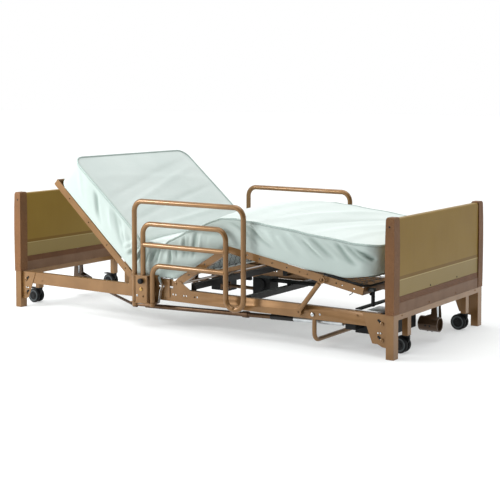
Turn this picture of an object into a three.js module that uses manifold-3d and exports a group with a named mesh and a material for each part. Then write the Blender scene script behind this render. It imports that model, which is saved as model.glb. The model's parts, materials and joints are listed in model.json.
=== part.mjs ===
// An adjustable home-care bed: two bed ends that stand on posts or on telescoping caster legs, a base
// frame between them, a four-section sleep deck, a mattress, two assist rails and the drives.
// Millimetres. +X points to the foot end, +Y to the far side, +Z up, and the floor is z = 0.
import * as THREE from 'three';
import { mergeVertices } from 'three/addons/utils/BufferGeometryUtils.js';
import Module from 'manifold-3d';

const wasm = await Module();
wasm.setup();

// ---------------------------------------------------------------- driving dimensions
const GAP = 0.3;                       // between pieces that touch
const ENDS = { foot: 1, head: -1 };    // the direction that each bed end faces
const SIDES = { near: -1, far: 1 };

const POST = { x: 1095, depth: 37, yIn: 418, yOut: 462, top: 598 };
const COVER = { bottom: 190.3, top: 606, yIn: 414.5, yOut: 466.5, wall: 0.4 };
const CHANNEL = { bottom: 165, top: 190, wall: 3 };
const TOP_TUBE = { bottom: 560, top: 585, depth: 24 };
const PANEL = { bottom: 265, top: 600, halfWidth: 413, skin: 3.4, ridge: 332, depth: 36 };
const SKIRT = { bottom: 190.3, top: 264.7, halfWidth: 412.5, skin: 3.2, bandTop: 232 };

const CARRIAGE = { y: 304, width: 34, depth: 27, bottom: 81, top: 530, barDepth: 23, barHeight: 25, nut: 12 };
const GUIDE = { slack: 0.7, wall: 3.2, top: 240 };
const SCREW = { radius: 8, hole: 9.6, bottom: 111.4, top: 548 };
const GEARBOX = { radius: 34, z: 77, inner: 1015, outer: 1110 };

const WHEEL = { radius: 37.5, trail: 25, z: 38, inner: 7.5, outer: 25 };
const STEM = { radius: 6, bottom: 79, top: 108, cap: 16, capTop: 80.6 };
const PEDAL = { reach: 66, hinge: 44, z: 75.5, halfWidth: 14 };

const HOOK = { x: 1052, heights: [77, 148] };              // the rivets that the side rails hook on
const BASE = { yOut: 445, yIn: 420, bottom: 130, top: 190, sheet: 3, end: 1040, joint: -122 };
const DECK = { z: 217, yOut: 440, yIn: 412, half: 17, sheet: 3 };
const PIVOT = { back: -326.5, thigh: -61.5 };
const LENGTH = { back: 686, thigh: 356, foot: 726 };
const RAISED = { back: 41.5, thigh: 32, foot: -10.3 };      // degrees, in the modelled pose
const MOST = { back: 60, thigh: 35 };                       // degrees, at the end of the travel
const LUG = { radius: 13, hole: 5, pin: 4, start: 24 };

const MATTRESS = { half: 457, bottom: 21, thickness: 150, overhang: 35, crown: 28, plump: 14 };
const LOW = MATTRESS.bottom;
const HIGH = MATTRESS.bottom + MATTRESS.thickness;
const SPRINGS = { half: 408, low: 9, high: 12 };

const BACK_ARM = { y: 60, radius: 70, ahead: MOST.back / 2 };
const KNEE_ARM = { y: -60, radius: 60, ahead: -MOST.thigh / 2 };
const CLEVIS = { ear: 6, inside: 10, slot: 6.5, pin: 5, rod: 9 };

const SHAFT = { y: -400, headX: -360, headZ: 80, footX: 850, footZ: 120 };
const LINK = { from: [-1000, -10, 77], to: [-382, -386, 79] };
const STRUT = { baseX: 636.5, baseZ: 157, along: 526, y: 458, radius: 11, eye: 17, slack: 11 };
const RAIL = { y: 490, tube: 12.7, bend: 50 };
const HOOP = { leg: -277.5, second: -224.5, third: -167.5, right: 363.5, innerRight: 264.5, top: 607,
  innerTop: 500, middle: 398, lower: 302, uBottom: 136.5 };
const BRACKET = { x0: -293, x1: -150, lidEnd: -186, face: [-257, -187], yBack: 445.3, yPlate: 459,
  yFront: 509, bottom: 115, top: 250, sheet: 3 };
const STANDOFF = { places: [-285, -175], length: 15, z: [135, 185] };    // they hold a bracket off the rail
const BRACKET_HOLE = { x: -209, z: 150, radius: 5 };
const KNOB = { x: -218, z: 224, pin: 5, hole: 6.3, radius: 13.5, start: 503.6, head: 510, end: 528 };
const HEAD_REACH = POST.x + PEDAL.reach;
const FOOT_REACH = POST.x + 22.5;
const BOX_SHIFT = (HEAD_REACH - FOOT_REACH) / 2;            // puts the origin under the middle of the box

const rad = THREE.MathUtils.degToRad;

// ---------------------------------------------------------------- materials
function material(colour, roughness, metalness = 0) {
  return new THREE.MeshStandardMaterial({ color: colour, roughness, metalness });
}
const bronze = () => material(0x91704e, 0.38, 0.2);
const moulded = () => material(0x7d5a41, 0.55);
const tan = () => material(0x8c7644, 0.6);
const skirtBrown = () => material(0x7d5f4b, 0.55);
const black = () => material(0x16181a, 0.5);
const rubber = () => material(0x1b1e20, 0.7);
const zinc = () => material(0xb4b8ba, 0.35, 0.9);
const wire = () => material(0x4b5254, 0.4, 0.8);
const mint = () => material(0xdfe8e4, 0.85);

// ---------------------------------------------------------------- solids
function solid(geometry) {
  geometry.deleteAttribute('normal');
  geometry.deleteAttribute('uv');
  const merged = mergeVertices(geometry, 1e-4);
  return new wasm.Manifold(new wasm.Mesh({
    numProp: 3,
    vertProperties: new Float32Array(merged.attributes.position.array),
    triVerts: new Uint32Array(merged.index.array),
  }));
}

function join(first, ...others) {
  return others.reduce((whole, piece) => whole.add(piece), first);
}

function cut(body, ...tools) {
  return tools.reduce((whole, tool) => whole.subtract(tool), body);
}

function box(x, y, z) {
  const [x0, x1] = [Math.min(...x), Math.max(...x)];
  const [y0, y1] = [Math.min(...y), Math.max(...y)];
  const [z0, z1] = [Math.min(...z), Math.max(...z)];
  const shape = new THREE.BoxGeometry(x1 - x0, y1 - y0, z1 - z0);
  return solid(shape.translate((x0 + x1) / 2, (y0 + y1) / 2, (z0 + z1) / 2));
}

// A round bar from one point to another.
function rod(from, to, radius, sides = 12) {
  const a = new THREE.Vector3(...from);
  const b = new THREE.Vector3(...to);
  const shape = new THREE.CylinderGeometry(radius, radius, a.distanceTo(b), sides);
  const along = b.clone().sub(a).normalize();
  shape.applyQuaternion(new THREE.Quaternion().setFromUnitVectors(new THREE.Vector3(0, 1, 0), along));
  const middle = a.add(b).multiplyScalar(0.5);
  return solid(shape.translate(middle.x, middle.y, middle.z));
}

// An outline of [x, z] points, as thick as the span y.
function plateY(outline, y) {
  const depth = Math.abs(y[1] - y[0]);
  const shape = new THREE.Shape(outline.map(([x, z]) => new THREE.Vector2(x, z)));
  const plate = new THREE.ExtrudeGeometry(shape, { depth, bevelEnabled: false });
  return solid(plate.rotateX(Math.PI / 2).translate(0, Math.max(...y), 0));
}

// An outline of [y, z] points, drawn out along the span x.
function prismX(outline, x) {
  const depth = Math.abs(x[1] - x[0]);
  const shape = new THREE.Shape(outline.map(([y, z]) => new THREE.Vector2(y, z)));
  const prism = new THREE.ExtrudeGeometry(shape, { depth, bevelEnabled: false });
  const turn = new THREE.Matrix4().makeBasis(
    new THREE.Vector3(0, 1, 0), new THREE.Vector3(0, 0, 1), new THREE.Vector3(1, 0, 0));
  return solid(prism.applyMatrix4(turn).translate(Math.min(...x), 0, 0));
}

// A path of straight runs and round bends, with a ring of the swept section at each listed point.
class BentPath extends THREE.Curve {
  constructor(rings) {
    super();
    this.rings = rings;
  }

  index(u) {
    return Math.round(u * (this.rings.length - 1));
  }

  getPointAt(u, target = new THREE.Vector3()) {
    return target.copy(this.rings[this.index(u)]);
  }

  getTangentAt(u, target = new THREE.Vector3()) {
    const i = this.index(u);
    const before = this.rings[Math.max(i - 1, 0)];
    const after = this.rings[Math.min(i + 1, this.rings.length - 1)];
    const here = this.rings[i];
    const arriving = here.clone().sub(before).normalize();
    const leaving = after.clone().sub(here).normalize();
    return target.copy(arriving.add(leaving).normalize());
  }
}

function bentTube(corners, bend, radius, sides = 12, bendSteps = 5) {
  const points = corners.map((corner) => new THREE.Vector3(...corner));
  const rings = [points[0]];
  for (let i = 1; i < points.length - 1; i += 1) {
    const arriving = points[i].clone().sub(points[i - 1]).normalize();
    const leaving = points[i + 1].clone().sub(points[i]).normalize();
    const centre = points[i].clone().addScaledVector(arriving, -bend).addScaledVector(leaving, bend);
    for (let step = 0; step <= bendSteps; step += 1) {
      const angle = (Math.PI / 2) * (step / bendSteps);
      const ring = centre.clone().addScaledVector(leaving, -bend * Math.cos(angle));
      rings.push(ring.addScaledVector(arriving, bend * Math.sin(angle)));
    }
  }
  rings.push(points[points.length - 1]);
  const section = new THREE.Shape(Array.from({ length: sides }, (_, k) => {
    const angle = (2 * Math.PI * (k + 0.5)) / sides;
    return new THREE.Vector2(radius * Math.cos(angle), radius * Math.sin(angle));
  }));
  return solid(new THREE.ExtrudeGeometry(section, {
    steps: rings.length - 1, extrudePath: new BentPath(rings), bevelEnabled: false,
  }));
}

function named(name, body, look) {
  const { vertProperties, triVerts } = body.getMesh();
  const geometry = new THREE.BufferGeometry();
  geometry.setAttribute('position', new THREE.BufferAttribute(vertProperties, 3));
  geometry.setIndex(new THREE.BufferAttribute(triVerts, 1));
  geometry.computeVertexNormals();
  const mesh = new THREE.Mesh(geometry, look);
  mesh.name = name;
  return mesh;
}

// The span from one distance to another on one side of the bed's middle.
const span = (sign, a, b) => [sign * a, sign * b];

// A pin across a rail, on one side of the bed.
function pinY(x, z, side, a, b, radius, sides = 12) {
  return rod([x, side * a, z], [x, side * b, z], radius, sides);
}

// ---------------------------------------------------------------- bed ends
function endFrame(end) {
  const x = span(end, POST.x - POST.depth / 2, POST.x + POST.depth / 2);
  const inX = span(end, POST.x - POST.depth / 2 + CHANNEL.wall, POST.x + POST.depth / 2 - CHANNEL.wall);
  const [legDepth, legWidth] = [CARRIAGE.depth / 2 + GUIDE.slack, CARRIAGE.width / 2 + GUIDE.slack];
  const legX = span(end, POST.x - legDepth, POST.x + legDepth);
  const tubeX = span(end, POST.x - TOP_TUBE.depth / 2, POST.x + TOP_TUBE.depth / 2);
  const yMost = POST.yIn + 2;
  let body = box(x, [-yMost, yMost], [CHANNEL.bottom, CHANNEL.top]);
  body = cut(body, box(inX, [-POST.yIn, POST.yIn], [CHANNEL.bottom - 1, CHANNEL.top - CHANNEL.wall]));
  body = cut(body, rod([end * POST.x, 0, 150], [end * POST.x, 0, 200], SCREW.hole));
  body = join(body, box(tubeX, [-yMost, yMost], [TOP_TUBE.bottom, TOP_TUBE.top]));
  for (const side of Object.values(SIDES)) {
    body = join(body, box(x, span(side, POST.yIn, POST.yOut), [0, POST.top]), hookFlange(end, side));
    body = cut(body, box(legX, span(side, CARRIAGE.y - legWidth, CARRIAGE.y + legWidth), [150, 200]));
    for (const edge of [-1, 1]) {
      const wall = span(side, CARRIAGE.y + edge * legWidth, CARRIAGE.y + edge * (legWidth + GUIDE.wall));
      body = join(body, box(tubeX, wall, [CHANNEL.top - 2, GUIDE.top]));
    }
  }
  return body;
}

// The strip of sheet behind a corner plate, with the two rivets that the plate hooks on.
function hookFlange(end, side) {
  const strip = box(span(end, 1044, POST.x - 15), span(side, 439.5, 443.4), [62, 184]);
  const rivets = HOOK.heights.map((z) => rod(
    [end * HOOK.x, side * 441, z], [end * HOOK.x, side * 451, z], 4.5, 8));
  return join(strip, ...rivets);
}

function postCover(end, side) {
  const widths = [[COVER.bottom, 20.6], [300, 21.8], [420, 22.5], [520, 21.8], [594, 20.2], [602, 18.4],
    [COVER.top, 15]];
  const centre = end * POST.x;
  const front = [...widths.map(([z, half]) => [centre + half, z]),
    ...widths.toReversed().map(([z, half]) => [centre - half, z])];
  const bulge = [[COVER.bottom, 465.2], [300, 466], [420, 466.5], [520, 466], [594, 464.4], [602, 462.8],
    [COVER.top, 459]];
  const flank = [...bulge.map(([z, y]) => [side * y, z]), [side * (COVER.yIn + 4), COVER.top],
    [side * COVER.yIn, COVER.top - 4], [side * COVER.yIn, COVER.bottom]];
  const outer = plateY(front, span(side, COVER.yIn, COVER.yOut)).intersect(
    prismX(flank, [centre - 24, centre + 24]));
  const half = POST.depth / 2 + COVER.wall;
  return cut(outer, box([centre - half, centre + half], span(side, 400, POST.yOut + COVER.wall),
    [150, POST.top + COVER.wall]));
}

// The panel is one moulding folded over the top: an outer and an inner skin with the frame between.
function endPanel(end) {
  const out = POST.x + PANEL.depth / 2;
  const inn = POST.x - PANEL.depth / 2;
  const t = PANEL.skin;
  const outline = [[out - 1.4, PANEL.bottom], [out - 1.4, PANEL.ridge - 5], [out, PANEL.ridge],
    [out - 0.8, PANEL.ridge + 6], [out - 0.8, PANEL.top - 9], [out - 4, PANEL.top - 2],
    [out - 10, PANEL.top], [inn + 10, PANEL.top], [inn + 4, PANEL.top - 2], [inn + 0.8, PANEL.top - 9],
    [inn + 0.8, PANEL.ridge + 6], [inn, PANEL.ridge], [inn + 1.4, PANEL.ridge - 5],
    [inn + 1.4, PANEL.bottom], [inn + t, PANEL.bottom], [inn + t, PANEL.top - 7],
    [out - t, PANEL.top - 7], [out - t, PANEL.bottom]];
  return plateY(outline.map(([x, z]) => [end * x, z]), [-PANEL.halfWidth, PANEL.halfWidth]);
}

function endSkirt(end) {
  const skinOf = (face, inward) => {
    const t = SKIRT.skin;
    const outline = [[face, SKIRT.bottom], [face, SKIRT.bandTop], [face - 1.6 * inward, SKIRT.bandTop + 3],
      [face, SKIRT.bandTop + 6], [face + 0.8 * inward, SKIRT.bandTop + 9], [face + 0.8 * inward, SKIRT.top],
      [face + t * inward, SKIRT.top], [face + t * inward, SKIRT.bottom]];
    return plateY(outline.map(([x, z]) => [end * x, z]), [-SKIRT.halfWidth, SKIRT.halfWidth]);
  };
  let body = join(skinOf(POST.x + 18.6, -1), skinOf(POST.x - 18.6, 1));
  for (const side of Object.values(SIDES)) {
    body = join(body, box(span(end, POST.x - 17, POST.x + 17), span(side, 400, SKIRT.halfWidth),
      [SKIRT.bottom + 2, SKIRT.top - 2]));
  }
  return body;
}

function gearbox(end) {
  const barrel = rod([end * GEARBOX.inner, 0, GEARBOX.z], [end * GEARBOX.outer, 0, GEARBOX.z],
    GEARBOX.radius, 20);
  const mouth = rod([end * (GEARBOX.outer - 14), 0, GEARBOX.z], [end * (GEARBOX.outer + 2), 0, GEARBOX.z],
    GEARBOX.radius - 5, 20);
  const input = rod([end * (GEARBOX.inner - 8), 0, GEARBOX.z], [end * (GEARBOX.inner + 4), 0, GEARBOX.z],
    20, 12);
  let body = join(cut(barrel, mouth), input);
  for (const y of [-22, 22]) {
    const hanger = [[1030, 95], [1107, 95], [1107, 120], [1103, CHANNEL.bottom - GAP],
      [1079, CHANNEL.bottom - GAP], [1076, 125], [1030, 108]];
    body = join(body, plateY(hanger.map(([x, z]) => [end * x, z]), [y - 1.5, y + 1.5]));
  }
  return body;
}

function liftScrew(end) {
  return rod([end * POST.x, 0, SCREW.bottom], [end * POST.x, 0, SCREW.top], SCREW.radius, 12);
}

// Two telescoping legs, the bar that joins them and the nut that the lift screw turns in.
function carriage(end) {
  const x = span(end, POST.x - CARRIAGE.depth / 2, POST.x + CARRIAGE.depth / 2);
  const barX = span(end, POST.x - CARRIAGE.barDepth / 2, POST.x + CARRIAGE.barDepth / 2);
  const barBottom = CARRIAGE.top - CARRIAGE.barHeight;
  let body = box(barX, [-CARRIAGE.y, CARRIAGE.y], [barBottom, CARRIAGE.top]);
  body = join(body, box(barX, [-20, 20], [barBottom - CARRIAGE.nut, barBottom + 1]));
  body = cut(body, rod([end * POST.x, 0, barBottom - 20], [end * POST.x, 0, CARRIAGE.top + 5], SCREW.hole));
  for (const side of Object.values(SIDES)) {
    const y = span(side, CARRIAGE.y - CARRIAGE.width / 2, CARRIAGE.y + CARRIAGE.width / 2);
    body = join(body, box(x, y, [CARRIAGE.bottom, CARRIAGE.top]));
    const socket = [end * POST.x, side * CARRIAGE.y];
    body = cut(body, rod([...socket, CARRIAGE.bottom - 5], [...socket, STEM.top + 4], STEM.radius + 1));
  }
  return body;
}

// ---------------------------------------------------------------- casters, about their own stem
function casterFork(withPedal) {
  const arm = withPedal ? [[-30, 62], [-40, 71], [-40, 78], [-22, 77]] : [[-28, 62], [-20, 77]];
  const outline = [[15, STEM.capTop], [15, 60], [6, 44], [-14, 28], [-36, 28], [-38, 46], ...arm,
    [-16, STEM.capTop]];
  const web = plateY(outline, [-6, 6]);
  const cap = rod([0, 0, 76], [0, 0, STEM.capTop], STEM.cap, 16);
  const stem = rod([0, 0, STEM.bottom], [0, 0, STEM.top], STEM.radius, 10);
  const bearing = rod([-WHEEL.trail, -20, WHEEL.z], [-WHEEL.trail, 20, WHEEL.z], 9.6, 12);
  return cut(join(web, cap, stem), bearing);
}

// Twin discs on one hub.
function casterWheel() {
  const r = WHEEL.radius;
  const [a, b] = [WHEEL.inner, WHEEL.outer];
  const profile = [[0, -b], [r - 5, -b], [r, -b + 4], [r, -a - 3], [r - 2, -a], [8, -a], [8, a], [r - 2, a],
    [r, a + 3], [r, b - 4], [r - 5, b], [0, b]];
  const spool = new THREE.LatheGeometry(profile.map(([x, y]) => new THREE.Vector2(x, y)), 24);
  return solid(spool.translate(-WHEEL.trail, 0, WHEEL.z));
}

function brakePedal() {
  const [heel, toe, z] = [3 - PEDAL.hinge, -PEDAL.reach, PEDAL.z];
  const outline = [[heel, z - 3], [heel, z + 3], [toe + 2, z + 4], [toe, z + 1], [toe + 1, z - 2]];
  return plateY(outline, [-PEDAL.halfWidth, PEDAL.halfWidth]);
}

// ---------------------------------------------------------------- base frame
function channelSection(side) {
  const { yOut, yIn, bottom, top, sheet } = BASE;
  const points = [[yOut, bottom], [yOut, top], [yIn, top], [yIn, top - sheet], [yOut - sheet, top - sheet],
    [yOut - sheet, bottom + sheet], [yIn, bottom + sheet], [yIn, bottom]];
  return points.map(([y, z]) => [side * y, z]);
}

// The plate that hooks a side rail on the rivets of a bed end.
function cornerPlate(end, side, inner) {
  const outline = [[inner, BASE.top - 1], [POST.x - POST.depth / 2 - 1, BASE.top - 1],
    [POST.x - POST.depth / 2 - 1, 45], [1051, 48], [1031, 58], [inner + 49, 59], [inner + 26, 118]];
  const plate = plateY(outline.map(([x, z]) => [end * x, z]), span(side, BASE.yOut - 1, BASE.yOut + 3));
  const slots = HOOK.heights.flatMap((z) => [
    rod([end * HOOK.x, side * 443, z], [end * HOOK.x, side * 452, z], 6, 10),
    box(span(end, HOOK.x - 14, HOOK.x), span(side, 443, 452), [z + 1, z + 6])]);
  return cut(plate, ...slots);
}

function headRail(side) {
  const rail = prismX(channelSection(side), [-BASE.end, BASE.joint]);
  const web = span(side, BASE.yOut - BASE.sheet, BASE.yOut);
  const lug = [[-352, 185], [-352, 214], [-340, 231], [-313, 231], [-301, 214], [-301, 185]];
  const splice = box([-260, BASE.joint], span(side, 442 - 0.5, 442 + 1), [136, 184]);
  return join(rail, splice, plateY(lug, web), cornerPlate(ENDS.head, side, 985),
    pinY(PIVOT.back, DECK.z, side, 431, 444, LUG.pin));
}

function footRail(side) {
  const rail = prismX(channelSection(side), [BASE.joint + GAP, BASE.end]);
  const web = span(side, BASE.yOut - BASE.sheet, BASE.yOut);
  const hinge = [[-77, 186], [-77, 228], [-32, 228], [36, 186]];
  const holes = [-78, -62, -14, 2, 52, 66].map((x) => pinY(x, 163, side, 430, 460, 4.5, 8));
  const bailNotch = box([692, 719], span(side, 415, BASE.yOut - BASE.sheet), [120, 140]);
  return join(cut(rail, ...holes, bailNotch), plateY(hinge, web), cornerPlate(ENDS.foot, side, 955),
    pinY(PIVOT.thigh, DECK.z, side, 431, 444, LUG.pin),
    pinY(STRUT.baseX, STRUT.baseZ, side, 443, 466, LUG.pin),
    pinY(705.5, 151, side, 444, 450, 8, 10));
}

// A tube across the base frame, with a foot at each end that stands inside the side rails.
function crossMember(x, z, half) {
  let body = box(x, [-half, half], z);
  for (const side of Object.values(SIDES)) {
    body = join(body, box(x, span(side, half - 5, half), [150, z[1]]),
      box(x, span(side, half - 5, BASE.yOut - BASE.sheet - GAP), [150, 155]));
  }
  return body;
}

function transportStand() {
  const y = 431.2;
  const [top, low] = [165, 33];
  return bentTube([[705.5, -y, top], [705.5, -y, low], [705.5, y, low], [705.5, y, top]], 36, 10.2, 12);
}

// ---------------------------------------------------------------- deck sections, flat, about their pivot
// Each runs along +s from its pivot; dir is -1 for the back section, which runs toward the head.
function deckSide(dir, side, length, holes) {
  const { half, sheet, yOut, yIn } = DECK;
  const round = Array.from({ length: 5 }, (_, k) => {
    const angle = Math.PI / 2 + (Math.PI * k) / 4;
    return [LUG.radius * Math.cos(angle), LUG.radius * Math.sin(angle)];
  });
  const leg = [[length, half], [LUG.start, half], ...round, [LUG.start, -half], [length, -half]];
  const face = plateY(leg.map(([s, t]) => [dir * s, t]), span(side, yOut - sheet, yOut));
  const flange = box([dir * (LUG.start + 2), dir * length], span(side, yIn, yOut - 1),
    [-half, -half + sheet]);
  const bored = holes.map((s) => pinY(dir * s, 0, side, yOut - 10, yOut + 5, 4, 8));
  return cut(join(face, flange), pinY(0, 0, side, yOut - 20, yOut + 20, LUG.hole), ...bored);
}

// A strip across a deck section, on the flanges of its sides.
function crossBar(dir, from, to) {
  const y = DECK.yIn + 5;
  return box([dir * from, dir * to], [-y, y], [-DECK.half, -DECK.half + DECK.sheet]);
}

// A strip across a deck section at the level of its springs, clear of the drives below.
function springBar(from, to) {
  const y = DECK.yOut - 1;
  return box([from, to], [-y, y], [SPRINGS.low, SPRINGS.high]);
}

// The lever below a pivot that a drive rod moves; its pin runs in the rod's slotted clevis.
function driveArm(dir, arm) {
  const lean = rad(arm.ahead);
  const tip = [arm.radius * Math.sin(lean), -arm.radius * Math.cos(lean)];
  const toward = Math.sign(tip[0]);
  const outline = [[dir * 50, -14], [dir * 28, -14], [toward * 3, -18], [tip[0] + toward * 7, tip[1] + 9],
    [tip[0] + toward * 7, tip[1] - 9], [tip[0] - toward * 7, tip[1] - 9], [dir * 10, -32], [dir * 50, -19]];
  const plate = plateY(outline, [arm.y - 6, arm.y + 6]);
  const reach = 6 + CLEVIS.inside + CLEVIS.ear;
  return join(plate, rod([tip[0], arm.y - reach, tip[1]], [tip[0], arm.y + reach, tip[1]], CLEVIS.pin, 12));
}

function backFrame() {
  const holes = [70, 230, 390, 560];
  let body = join(crossBar(-1, 28, 50), crossBar(-1, LENGTH.back - 28, LENGTH.back), driveArm(-1, BACK_ARM));
  const x = [-LENGTH.back, -LENGTH.back + DECK.sheet];
  body = join(body, box(x, [-DECK.yOut, DECK.yOut], [-DECK.half, DECK.half]));
  for (const side of Object.values(SIDES)) {
    body = join(body, deckSide(-1, side, LENGTH.back, holes));
  }
  return body;
}

function seatFrame() {
  const [x0, x1] = [PIVOT.back + 20, PIVOT.thigh - 20];
  const z = [DECK.z - DECK.half, DECK.z + DECK.half];
  const floor = [z[0], z[0] + DECK.sheet];
  const across = [-DECK.yIn - 5, DECK.yIn + 5];
  let body = join(box([x0, x0 + 18], across, floor), box([x1 - 18, x1], across, floor));
  for (const side of Object.values(SIDES)) {
    body = join(body,
      box([x0, x1], span(side, DECK.yOut - DECK.sheet, DECK.yOut), z),
      box([x0, x1], span(side, DECK.yIn, DECK.yOut - 1), floor),
      box([-128, -95], span(side, DECK.yOut - 1, BASE.yOut + 4), [z[0] + 2, z[1] - 2]),
      box([-128, -95], span(side, BASE.yOut + GAP, BASE.yOut + 4), [148, z[1] - 2]));
  }
  return body;
}

function thighFrame() {
  const end = LENGTH.thigh - 16;
  let body = join(crossBar(1, 28, 50), springBar(end - 28, end - 6), driveArm(1, KNEE_ARM));
  for (const side of Object.values(SIDES)) {
    const lug = box([end - 30, LENGTH.thigh + 10], span(side, DECK.yOut - 6.6, DECK.yOut - 2.9), [-10, 10]);
    const stub = box([end - 30, end - 4], span(side, DECK.yOut - 6.6, DECK.yOut - 1), [-10, 10]);
    const beyondSide = box([end - 3.7, 400], span(side, 430, 450), [-30, 30]);
    const beyondLug = box([end - 4, 400], span(side, DECK.yOut - 3.3, DECK.yOut), [-30, 30]);
    body = join(body, cut(deckSide(1, side, end, [90, 200]), beyondSide), cut(lug, beyondLug), stub,
      pinY(LENGTH.thigh, 0, side, DECK.yOut - 6, DECK.yOut + 3, LUG.pin));
  }
  return body;
}

function footFrame() {
  const holes = [110, 180, 250, 330, 400, 440, 590, 620, 680];
  const x = [LENGTH.foot - DECK.sheet, LENGTH.foot];
  let body = join(springBar(34, 52), crossBar(1, LENGTH.foot - 28, LENGTH.foot),
    box(x, [-DECK.yOut, DECK.yOut], [-DECK.half, DECK.half]));
  for (const side of Object.values(SIDES)) {
    body = join(body, deckSide(1, side, LENGTH.foot, holes),
      pinY(STRUT.along, 0, side, DECK.yOut - 2, 466, LUG.pin));
  }
  return body;
}

function springPlate(from, to) {
  return box([from, to], [-SPRINGS.half, SPRINGS.half], [SPRINGS.low, SPRINGS.high]);
}

// ---------------------------------------------------------------- mattress sections
// A section starts at a plane that leans away from its fold by half of the most that the fold closes.
function foldStart(degrees, t) {
  return 1.5 + t * Math.tan(rad(degrees / 2));
}

function mattressBlock(outline) {
  return plateY(outline, [-MATTRESS.half, MATTRESS.half]);
}

function mattressBack() {
  const end = LENGTH.back - MATTRESS.overhang;
  const high = HIGH + MATTRESS.plump;
  return mattressBlock([[-foldStart(MOST.back, LOW), LOW], [-foldStart(MOST.back, high), high],
    [-end, high], [-end, LOW]]);
}

function mattressSeat() {
  const [a, b] = [PIVOT.back, PIVOT.thigh];
  const high = HIGH + MATTRESS.plump;
  return mattressBlock([[a + foldStart(MOST.back, LOW), DECK.z + LOW],
    [a + foldStart(MOST.back, high), DECK.z + high], [b - foldStart(MOST.thigh, high), DECK.z + high],
    [b - foldStart(MOST.thigh, LOW), DECK.z + LOW]]);
}

function mattressThigh() {
  const end = LENGTH.thigh - 1;
  const high = HIGH + MATTRESS.plump;
  return mattressBlock([[foldStart(MOST.thigh, LOW), LOW], [foldStart(MOST.thigh, high), high],
    [end / 2, HIGH], [end, HIGH - MATTRESS.crown], [end, LOW]]);
}

function mattressFoot() {
  const end = LENGTH.foot + MATTRESS.overhang;
  return mattressBlock([[1, LOW], [1, HIGH - MATTRESS.crown], [end / 4, HIGH], [end, HIGH + MATTRESS.crown],
    [end, LOW + MATTRESS.crown / 2]]);
}

// ---------------------------------------------------------------- drives
// A rod with a slotted clevis round the pin of a drive arm. pin is where that pin is.
function driveRod(arm, pin, rodEnd, slotZ) {
  const [px, pz] = pin;
  const near = arm.y - CLEVIS.inside;
  const far = arm.y + CLEVIS.inside;
  let body = box([px + 19, px + 27], [near - CLEVIS.ear, far + CLEVIS.ear], [pz - 10, pz + 10]);
  for (const y of [[near - CLEVIS.ear, near], [far, far + CLEVIS.ear]]) {
    const ear = box([px - 16, px + 27], y, [slotZ[0] - 8, slotZ[1] + 8]);
    body = join(body, cut(ear, box([px - CLEVIS.slot, px + CLEVIS.slot], [y[0] - 1, y[1] + 1], slotZ)));
  }
  return join(body, rod([px + 22, arm.y, pz], [rodEnd, arm.y, pz], CLEVIS.rod, 12));
}

// Where the pin of a drive arm is once its section has turned by some degrees.
function armPin(pivotX, arm, turned) {
  const angle = rad(arm.ahead + turned);
  return [pivotX + arm.radius * Math.sin(angle), DECK.z - arm.radius * Math.cos(angle)];
}
const BACK_PIN = armPin(PIVOT.back, BACK_ARM, -RAISED.back);
const KNEE_PIN = armPin(PIVOT.thigh, KNEE_ARM, RAISED.thigh);

function backMotor() {
  const [z, y] = [BACK_PIN[1], BACK_ARM.y];
  const casing = box([-190, -84], [y - 38, y + 38], [z - 36, 193]);
  const gear = rod([-140, y - 46, z], [-140, y + 46, z], 26, 16);
  const bore = rod([-195, y, z], [-92, y, z], 11, 12);
  const tail = box([-86, 34], [y - 9, y + 9], [174, 187]);
  const saddle = box([6, 30], [y - 12, y + 12], [185, 192 - GAP]);
  return cut(join(casing, gear, tail, saddle), bore);
}

function kneeMotor() {
  const [z, y] = [KNEE_PIN[1], KNEE_ARM.y];
  const casing = box([150, 250], [y - 38, y + 38], [z - 20, 222]);
  const gear = rod([196, y - 46, 190], [196, y + 46, 190], 28, 16);
  const bore = rod([145, y, z], [240, y, z], 11, 12);
  const tail = rod([248, y, 211], [500, y, 211], 10.7, 12);
  const saddle = box([332, 355], [y - 12, y + 12], [196 + GAP, 206]);
  return cut(join(casing, gear, tail, saddle), bore);
}

function liftMotor() {
  const casing = box([858, 1020], [-335, -60], [70, 128]);
  const output = box([852, 905], [-414, -330], [98, 142]);
  const hanger = box([918, 947], [-250, -120], [120, 150 - GAP]);
  return join(casing, output, hanger);
}

function shaftPoint(x) {
  const share = (x - SHAFT.headX) / (SHAFT.footX - SHAFT.headX);
  return [x, SHAFT.y, SHAFT.headZ + share * (SHAFT.footZ - SHAFT.headZ)];
}

function driveShaft() {
  const run = (a, b, radius) => rod(shaftPoint(a), shaftPoint(b), radius, 12);
  return join(run(SHAFT.headX, -10, 7), run(-24, 465, 11), run(314, 326, 16), run(455, 585, 8.5),
    run(575, SHAFT.footX, 7), run(SHAFT.headX, SHAFT.headX + 22, 13));
}

function linkShaft() {
  return rod(LINK.from, LINK.to, 7, 12);
}

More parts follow.
